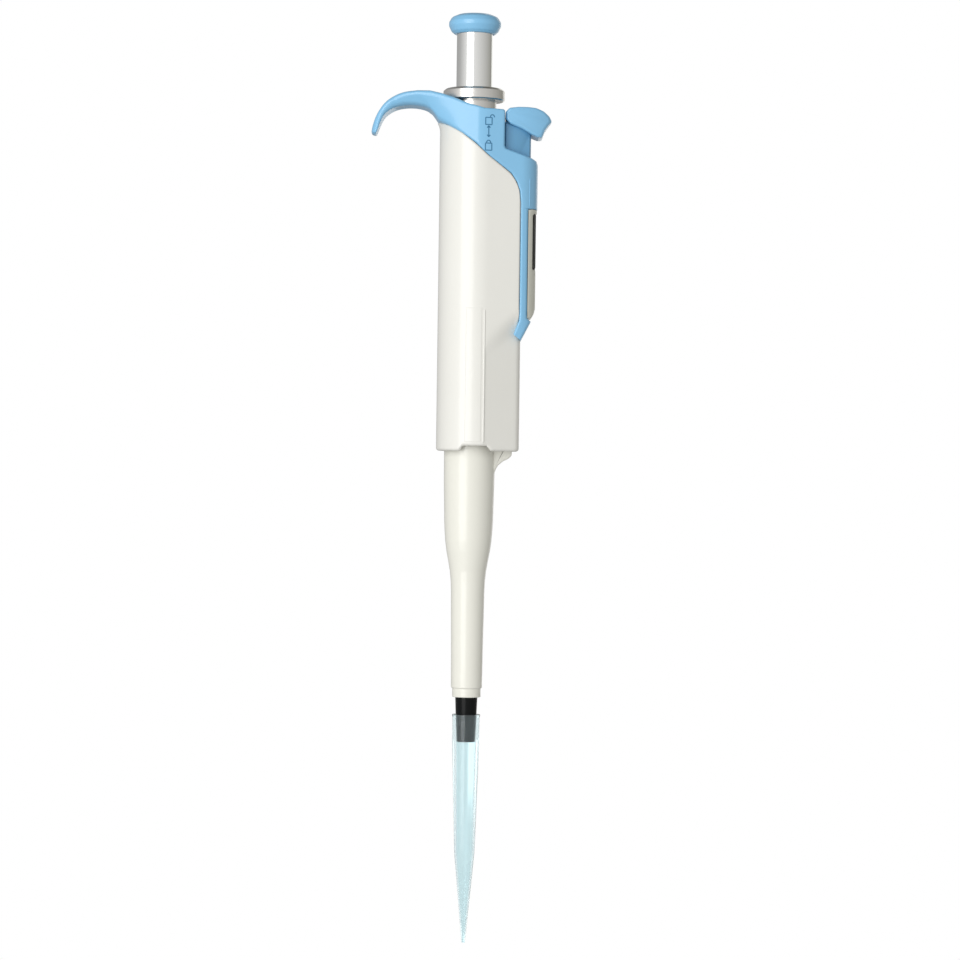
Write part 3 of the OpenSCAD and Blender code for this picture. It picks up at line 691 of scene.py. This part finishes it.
def slab(name, outline, half_w, edge, body, material, replaced=(), steps=5, half_width=None):
    """A closed side view (x, z) carried across Y, its rim rounded: each ring is drawn in along the outline's
    normal by edge (1 - cos t) while its Y goes from half_w - edge to half_w."""
    outline = np.asarray(outline, float)
    along = np.roll(outline, -1, 0) - np.roll(outline, 1, 0)
    along /= np.linalg.norm(along, axis=1)[:, None]
    x, z = outline.T
    area = np.sum(x * np.roll(z, -1) - np.roll(x, -1) * z)
    outward = np.stack([along[:, 1], -along[:, 0]], axis=1) * np.sign(area)
    t = np.linspace(0, np.pi / 2, steps)
    inset = edge * (1 - np.cos(t))
    depth = half_w - edge * (1 - np.sin(t))
    inset = np.concatenate([inset[::-1], inset])
    depth = np.concatenate([-depth[::-1], depth])
    rings = []
    for d, y in zip(inset, depth):
        flat = outline - outward * d
        rings.append(np.column_stack([flat[:, 0], np.full(len(flat), y), flat[:, 1]]))
    points = np.array(rings)
    faces = grid_faces(len(points), len(outline), wrap_cols=True).tolist()
    faces.append(list(range(len(outline))))
    faces.append([k + (len(points) - 1) * len(outline) for k in range(len(outline))][::-1])
    if half_width is not None:
        points[..., 1] *= half_width(points[..., 0]) / half_w
    return make_piece(name, points, faces, body, material, replaced, 35)


def button_half_width(x):
    """Half width of the ejector button: 1.6 + 6.85 sqrt(1 - u^1.7), with u from 0 at its back to 1 at its
    front."""
    forward = np.clip((x - 10.0) / 14.7, 0, 1)
    return 1.6 + 6.85 * np.sqrt(1 - forward ** 1.7)


def build_ejector_button():
    """Thumb rest: a side view with a scooped top and a hollow lower front edge, as wide over each x as
    button_half_width says."""
    outline = rounded([[9.9, 261.3], [11.2, 262.7], [14, 263.05], [17, 263.1], [19.6, 262.9], [22, 262.0],
                       [23.8, 260.5], [24.6, 259.0], [23.4, 257.7], [22.3, 256.0], [21.5, 253.8],
                       [20.2, 253.75], [18.4, 254.5], [15.3, 256.2], [11.5, 257.7], [10.2, 258.9]],
                      [0.8, 1.2, 2, 3, 3, 3, 2, 0.7, 2.5, 2.5, 0.35, 0.4, 3, 3, 1.2, 0.8], closed=True)
    return slab("eject_button", resampled(outline, 150, True), 8.45, 0.9, "ejector", SKY,
                ["ejector_button"], steps=8, half_width=button_half_width)


def build_ejector_parts():
    """Stem under the ejector button, and the sleeve's arm under the handle."""
    stem_x = [low("ejector_stem", 0), high("ejector_stem", 0)]
    stem_z = low("ejector_stem", 2)
    rib_x = low("ejector_button", 0) - 0.04
    outline = rounded([[rib_x, stem_z], [stem_x[1], stem_z], [stem_x[1], 254.9], [15.3, 256.4], [11.5, 257.7],
                       [rib_x, 258.9]], [0, 0.5, 0.3, 2, 1, 0], closed=True)
    half_w = high("ejector_stem", 1)

    def stem_half_width(x):
        forward = np.clip((x - stem_x[0]) / (stem_x[1] + 0.1 - stem_x[0]), 0, 1)
        full = 2.2 + (half_w - 2.2) * np.sqrt(1 - forward ** 3)
        return np.where(x < rib_x + 0.1, 4.0, full)

    # The stem wears the darker copy of the blue, painted shade under the button.
    slab("eject_stem", resampled(outline, 110, True), half_w, 0.5, "ejector", SKY_SHADED,
         ["ejector_stem"], half_width=stem_half_width)
    arm = rounded([[6.5, 146.5], [7.8, 147.8], [8.3, 149.3], [9, 150.6], [10.6, 152.0], [12.3, 152.8],
                   [13.35, 153.9], [13.35, 160], [6.5, 160]],
                  [0, 1, 1.2, 1.2, 1.5, 1, 1, 0.4, 0], closed=True)
    slab("eject_arm", arm, 2.3, 0.6, "ejector", SLEEVE)


def build_window():
    """Frame: a profile carried round the opening, from the outer back edge over the rounded front to the
    inner edge. Each point goes from the outer outline to the opening's, and its X follows the frame's side
    view."""
    box_low, box_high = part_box("window_frame")
    z0, z1 = box_low[2] / MM, box_high[2] / MM
    back, front = box_low[0] / MM, 20.0
    lens_low, lens_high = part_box("window_lens")
    hole_z = [lens_low[2] / MM - 0.05, lens_high[2] / MM + 0.05]
    half_w, hole_w = 6.75, 5.2
    round_r = DISPLAY["corner_r"]
    count = 240
    outer = [[-half_w, z0], [half_w, z0], [half_w, z1], [-half_w, z1]]
    outer = resampled(rounded(outer, 1.6, closed=True), count, True)
    inner = [[-hole_w, hole_z[0]], [hole_w, hole_z[0]], [hole_w, hole_z[1]], [-hole_w, hole_z[1]]]
    inner = resampled(rounded(inner, 0.5, closed=True), count, True)
    t = np.linspace(0, np.pi / 2, 6)
    edge = 0.5
    # Rows: share of the way in, and depth below the front face.
    rows = [(0.0, front - back)] + [(0.12 * (1 - np.cos(a)), edge * (1 - np.sin(a))) for a in t]
    rows += [(s, 0.0) for s in np.linspace(0.2, 0.9, 8)]
    rows += [(0.97, 0.03), (1.0, 0.12), (1.0, 1.35), (1.35, 1.35), (1.35, front - back)]
    points = []
    for share, depth in rows:
        flat = outer + (inner - outer) * share
        z = flat[:, 1]
        face = (front - 1.5 * (1 - smoothstep(z0 - 1.5, z0 + 3.4, z))
                + 0.28 * smoothstep(z1 - 1.25, z1 - 1.05, z))
        off_centre = np.clip(np.abs(flat[:, 0]) - DISPLAY["half_w"] + round_r, 0, round_r - 0.5)
        face = np.minimum(face, DISPLAY["front_x"] - round_r - 0.1 + np.sqrt(round_r ** 2 - off_centre ** 2))
        x = np.maximum(face - depth, back)
        points.append(np.column_stack([x, flat[:, 0], z]))
    points = np.array(points)
    make_piece("window_surround", points, grid_faces(len(points), count, wrap_cols=True), "housing", STONE,
               ["window_frame"], 40)
    lens_x = [lens_low[0] / MM, lens_high[0] / MM]
    y = np.linspace(-5.12, 5.12, 25)
    z = np.linspace(hole_z[0] + 0.06, hole_z[1] - 0.06, 30)
    yy, zz = np.meshgrid(y, z)
    edge_y = np.clip((np.abs(yy) - 4.7) / 0.42, 0, 1)
    edge_z = np.clip((np.abs(zz - np.mean(hole_z)) - (hole_z[1] - hole_z[0]) / 2 + 0.4) / 0.4, 0, 1)
    front_x = lens_x[1] - 0.25 * (np.maximum(edge_y, edge_z)) ** 2
    pane = np.stack([front_x, yy, zz], axis=-1)
    piece = make_piece("window_pane", pane, grid_faces(30, 25), "housing", LENS_SHADED_BORDER,
                       ["window_lens"], 50)
    thick = piece.modifiers.new("pane thickness", "SOLIDIFY")
    thick.thickness = 0.9 * MM
    thick.offset = -1


build_ejector_button()
build_ejector_parts()
build_window()


# ---------------------------------------------------------------- label plate and marks

def round_side_y(x, lift):
    """Y of the handle's near side over x, on the round back's circle, lifted outwards."""
    r = BACK_R + lift
    return -np.sqrt(r * r - (x - (BACK_X + BACK_R)) ** 2)


def build_label_plate():
    """Thin plate on the round side: its border rolls down over the last quarter millimetre."""
    x = np.concatenate([[-1.8, -1.75, -1.65, -1.5], np.linspace(-1.3, 3.1, 14), [3.3, 3.45, 3.55, 3.6]])
    z = np.concatenate([[157.6, 157.65, 157.75, 157.9], np.linspace(158.2, 199.3, 60),
                        [199.6, 199.75, 199.85, 199.9]])
    xx, zz = np.meshgrid(x, z)
    border = np.minimum(np.minimum(xx - x[0], x[-1] - xx), np.minimum(zz - z[0], z[-1] - zz))
    lift = -0.25 + 0.33 * np.sqrt(np.clip(border / 0.3, 0, 1))
    points = np.stack([xx, round_side_y(xx, lift), zz], axis=-1)
    make_piece("label_strip", points, grid_faces(len(z), len(x)), "housing", IVORY,
               ["label_plate"], 60)


def ribbon(lines, width, place, name, body, material):
    """Flat strokes along polylines in a plane (u, v): each stroke is half a width to either side, and place
    turns its points into the surface's (x, y, z)."""
    points, faces = [], []
    for line, closed in lines:
        line = np.asarray(line, float)
        along = (np.roll(line, -1, 0) - np.roll(line, 1, 0)) if closed else np.gradient(line, axis=0)
        along = along / np.linalg.norm(along, axis=1)[:, None]
        side = np.stack([-along[:, 1], along[:, 0]], axis=1) * width / 2
        pair = np.stack([line - side, line + side], axis=1)
        count = len(line)
        base = sum(len(p) for p in points)
        points.append(pair.reshape(-1, 2))
        k = np.arange(count if closed else count - 1)
        nxt = (k + 1) % count
        faces.append(np.stack([2 * k, 2 * nxt, 2 * nxt + 1, 2 * k + 1], axis=1) + base)
    flat = np.vstack(points)
    return make_piece(name, place(flat), np.vstack(faces), body, material, merge=1e-9)


def cover_side_point(flat):
    """Near side of the cover: y is minus the half width over x, lifted by the thickness of the print."""
    x, z = flat[:, 0], flat[:, 1]
    return np.column_stack([x, -cover_half_width(x) - 0.02, z])


MARK_X = 4.75


def padlock(middle_z, open_shackle):
    """Generic padlock: a square body under a bow, which is swung aside when the lock is open."""
    body = [[MARK_X - 1, middle_z - 1.1], [MARK_X + 1, middle_z - 1.1], [MARK_X + 1, middle_z + 1.1],
            [MARK_X - 1, middle_z + 1.1]]
    t = np.linspace(0, np.pi, 13)
    shift = 1.1 if open_shackle else 0.0
    bow = np.column_stack([MARK_X + shift + 0.65 * np.cos(t), middle_z + 1.2 + 0.8 * np.sin(t)])
    return [(resampled(body, 40, True), True), (bow, False)]


def build_marks():
    """Padlocks and the arrow between them, printed beside the lock ring."""
    arrow = [([[MARK_X, 253.1], [MARK_X, 256.5]], False),
             ([[MARK_X - 0.5, 253.7], [MARK_X, 253.1], [MARK_X + 0.5, 253.7]], False),
             ([[MARK_X - 0.5, 255.9], [MARK_X, 256.5], [MARK_X + 0.5, 255.9]], False)]
    lines = padlock(250.0, False) + padlock(258.0, True)
    lines += [(resampled(line, 12), closed) for line, closed in arrow]
    ribbon(lines, 0.34, cover_side_point, "lock_marks", "housing", MARK_BLUE)


def bead_line(name, x0, z0, z1, radius, side, half_width, material):
    """Fine upright bead on a side wall: a half circle whose radius fades out at both ends."""
    z = np.linspace(z0, z1, 60)
    t = np.linspace(0, np.pi, 9)
    bead = radius * np.minimum(1, np.minimum(z - z0 + 0.02, z1 - z + 0.02) / 0.6)[:, None]
    x = x0 + bead * np.cos(t)
    y = side * (half_width(x) - 0.12 + bead * np.sin(t))
    points = np.stack([x, y, z[:, None] + 0 * t], axis=-1)
    make_piece(name, points, grid_faces(60, 9), "housing", material)


def build_ridges():
    """Thin raised lines: one on either side of the cover above the window, and one beside the label plate."""
    z0 = high("window_frame", 2) + 0.3
    bead_line("cover_ridge_near", 18.0, z0, 241.0, 0.28, -1, cover_half_width, SKY)
    bead_line("cover_ridge_far", 18.0, z0, 241.0, 0.28, 1, cover_half_width, SKY)
    bead_line("label_ridge", 4.25, 157.4, 199.5, 0.34, -1, lambda x: -round_side_y(x, 0.0), IVORY)


build_label_plate()
build_marks()
build_ridges()


# ---------------------------------------------------------------- number wheels

def digit_points(digit, size):
    """Outline points and triangles of one digit from the built-in font, centred, in millimetres."""
    curve = bpy.data.curves.new("digit", "FONT")
    curve.body = str(digit)
    curve.size = size
    curve.align_x, curve.align_y = "CENTER", "CENTER"
    curve.resolution_u = 3
    holder = bpy.data.objects.new("digit", curve)
    bpy.context.scene.collection.objects.link(holder)
    mesh = bpy.data.meshes.new_from_object(holder)
    mesh.calc_loop_triangles()
    flat = np.array([v.co[:2] for v in mesh.vertices])
    flat -= (flat.max(0) + flat.min(0)) / 2
    triangles = np.array([t.vertices[:] for t in mesh.loop_triangles])
    bpy.data.objects.remove(holder)
    bpy.data.curves.remove(curve)
    bpy.data.meshes.remove(mesh)
    return flat, triangles


def build_number_wheels():
    """Each wheel: a drum with small chamfers and ten digits wrapped round it, 36 degrees apart, the shown
    digit facing the window."""
    digits = [digit_points(d, 3.9) for d in range(10)]
    axis = (low("number_wheel_1", 0) + high("number_wheel_1", 0)) / 2
    radius = (high("number_wheel_1", 0) - low("number_wheel_1", 0)) / 2
    reading = {1: 0, 2: 0, 3: 5, 4: 0}
    for wheel, shown in reading.items():
        node = "number_wheel_%d" % wheel
        z0, z1 = low(node, 2), high(node, 2)
        spun("wheel_drum_%d" % wheel,
             rounded([[1.08, z0], [radius, z0], [radius, z1], [4.2, z1], [4.2, z0 + 1.2], [2.2, z0 + 1.2],
                      [2.2, z1], [1.08, z1]], [0, 0.25, 0.25, 0.1, 0, 0, 0, 0], closed=True),
             "wheel_%d" % wheel, WHEEL, [node], axis=(axis, 0), closed=True, turns=96)
        points, faces, base = [], [], 0
        for d, (flat, triangles) in enumerate(digits):
            turn = math.radians(36 * (d - shown)) + flat[:, 0] / radius
            lift = radius + 0.05
            points.append(np.column_stack([axis + lift * np.cos(turn), lift * np.sin(turn),
                                           (z0 + z1) / 2 + flat[:, 1]]))
            faces.append(triangles + base)
            base += len(flat)
        make_piece("wheel_digits_%d" % wheel, np.vstack(points), np.vstack(faces), "wheel_%d" % wheel, INK,
                   merge=1e-9)


build_number_wheels()


# ---------------------------------------------------------------- studio

# Compass direction in degrees, 0 towards the viewer's side and positive to the right, and brightness there.
SURROUND = [(-180, 0.38), (180, 0.38), (-130, 0.46), (-106, 0.52), (-80, 0.70), (-45, 1.0), (-20, 1.05),
            (0, 0.90), (20, 0.60), (35, 0.44), (55, 0.27), (74, 0.23), (106, 0.28), (130, 0.34)]


def build_studio():
    """A small pale floor below the hanging pipette, a white surround and soft lights."""
    floor_z = -40 * MM
    mesh = bpy.data.meshes.new("floor")
    a = np.linspace(0, 2 * np.pi, 64, endpoint=False)
    ring = np.stack([0.2 * np.cos(a), 0.2 * np.sin(a), floor_z + 0 * a], axis=1)
    mesh.from_pydata(ring.tolist(), [], [list(range(64))])
    floor = bpy.data.objects.new("floor", mesh)
    bpy.context.scene.collection.objects.link(floor)
    pale = Material("pale floor", Roughness=0.7)
    pale.feed("Base Color", pale.mix(pale.noise(30, 2), rgb(240, 240, 240), rgb(236, 236, 236)))
    mesh.materials.append(pale.material)

    world = bpy.data.worlds.new("studio")
    bpy.context.scene.world = world
    world.use_nodes = True
    tree = world.node_tree
    background = tree.nodes["Background"]

    def node(kind):
        return tree.nodes.new("ShaderNode" + kind)

    # Soft surround: its brightness depends on the compass direction, brightest at the front left, with one
    # dark screen at the front right, and it falls off towards straight up and straight down.
    split = node("SeparateXYZ")
    tree.links.new(node("TexCoord").outputs["Generated"], split.inputs[0])
    east, south, height = (Socket(tree, split.outputs[k]) for k in range(3))
    compass = east.math("ARCTAN2", east, south * -1.0) * (0.5 / math.pi) + 0.5
    ramp = node("ValToRGB")
    tree.links.new(compass.output, ramp.inputs[0])
    stops = ramp.color_ramp.elements
    for k, (angle, level) in enumerate(SURROUND):
        stop = stops[k] if k < 2 else stops.new(0.5)
        stop.position = angle / 360 + 0.5
        stop.color = (level, level * (0.985 if angle > 10 else 1), level * (0.90 if angle > 10 else 1), 1)
    # The camera sees plain white behind the object, and through its clear parts.
    path = node("LightPath")
    seen = Socket(tree, path.outputs["Is Camera Ray"]) + Socket(tree, path.outputs["Is Transmission Ray"])
    seen = seen.clamped()
    shade = node("Mix")
    shade.data_type = "RGBA"
    tree.links.new(seen.output, shade.inputs[0])
    tree.links.new(ramp.outputs[0], shade.inputs[6])
    shade.inputs[7].default_value = (1, 1, 1, 1)
    tree.links.new(shade.outputs[2], background.inputs["Color"])
    strength = (1.0 - height * height * 0.7) * (1.0 - seen) + seen
    tree.links.new(strength.output, background.inputs["Strength"])

    def lamp(name, place, size, power, aim=(0, 0, 0.16)):
        light = bpy.data.lights.new(name, "AREA")
        light.shape = "RECTANGLE"
        light.size, light.size_y = size
        light.energy = power
        obj = bpy.data.objects.new(name, light)
        obj.location = place
        obj.rotation_euler = (Vector(aim) - Vector(place)).to_track_quat("-Z", "Y").to_euler()
        bpy.context.scene.collection.objects.link(obj)

    lamp("key", (-0.40, -0.76, 0.30), (0.6, 0.9), 4.6)
    lamp("back", (0.3, 0.8, 0.35), (0.6, 0.8), 1.0)


def build_camera():
    """Level camera in front of the side view, at half height, rolled so that the top leans to the right."""
    camera = bpy.data.cameras.new("camera")
    camera.lens = 115
    camera.sensor_width = 36
    distance = 0.303 / camera.sensor_width * camera.lens
    obj = bpy.data.objects.new("camera", camera)
    bpy.context.scene.collection.objects.link(obj)
    turn = Matrix.Rotation(math.radians(90), 4, "X") @ Matrix.Rotation(math.radians(0.75), 4, "Z")
    obj.matrix_world = Matrix.Translation((0.00343, -distance, 0.1460)) @ turn
    bpy.context.scene.camera = obj
    bpy.context.scene.view_settings.view_transform = "Standard"


build_studio()
build_camera()
